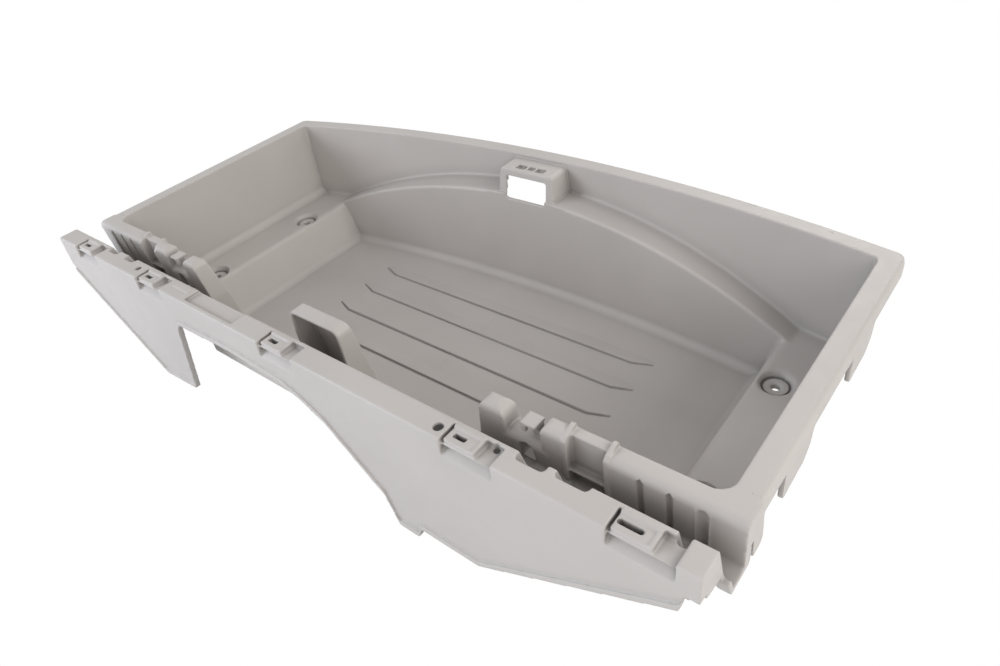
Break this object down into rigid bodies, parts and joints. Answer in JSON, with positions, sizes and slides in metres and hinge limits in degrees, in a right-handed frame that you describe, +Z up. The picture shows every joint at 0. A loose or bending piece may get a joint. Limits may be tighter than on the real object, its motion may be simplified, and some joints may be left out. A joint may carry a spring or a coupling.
{
  "type": "moulded vehicle cargo storage tub",
  "caption": "One-piece moulded storage tub with a stepped basin, an arched back ledge, a hinge channel and clip rail along its front and a shaped hanging skirt.",
  "frame": {"origin": "on the underside of the basin floor, in the middle of the part's width and depth", "axes": "+X along the tub, to the right as seen from the clip rail; +Y from the clip rail to the back of the basin; +Z up, out of the basin"},
  "size_m": [0.735, 0.3912, 0.1532],
  "materials": {
    "tub_plastic": "fine-grained matt moulded plastic, light warm grey"
  },
  "bodies": {
    "root": {"storage_tub": "tub_plastic"}
  },
  "joints": []
}
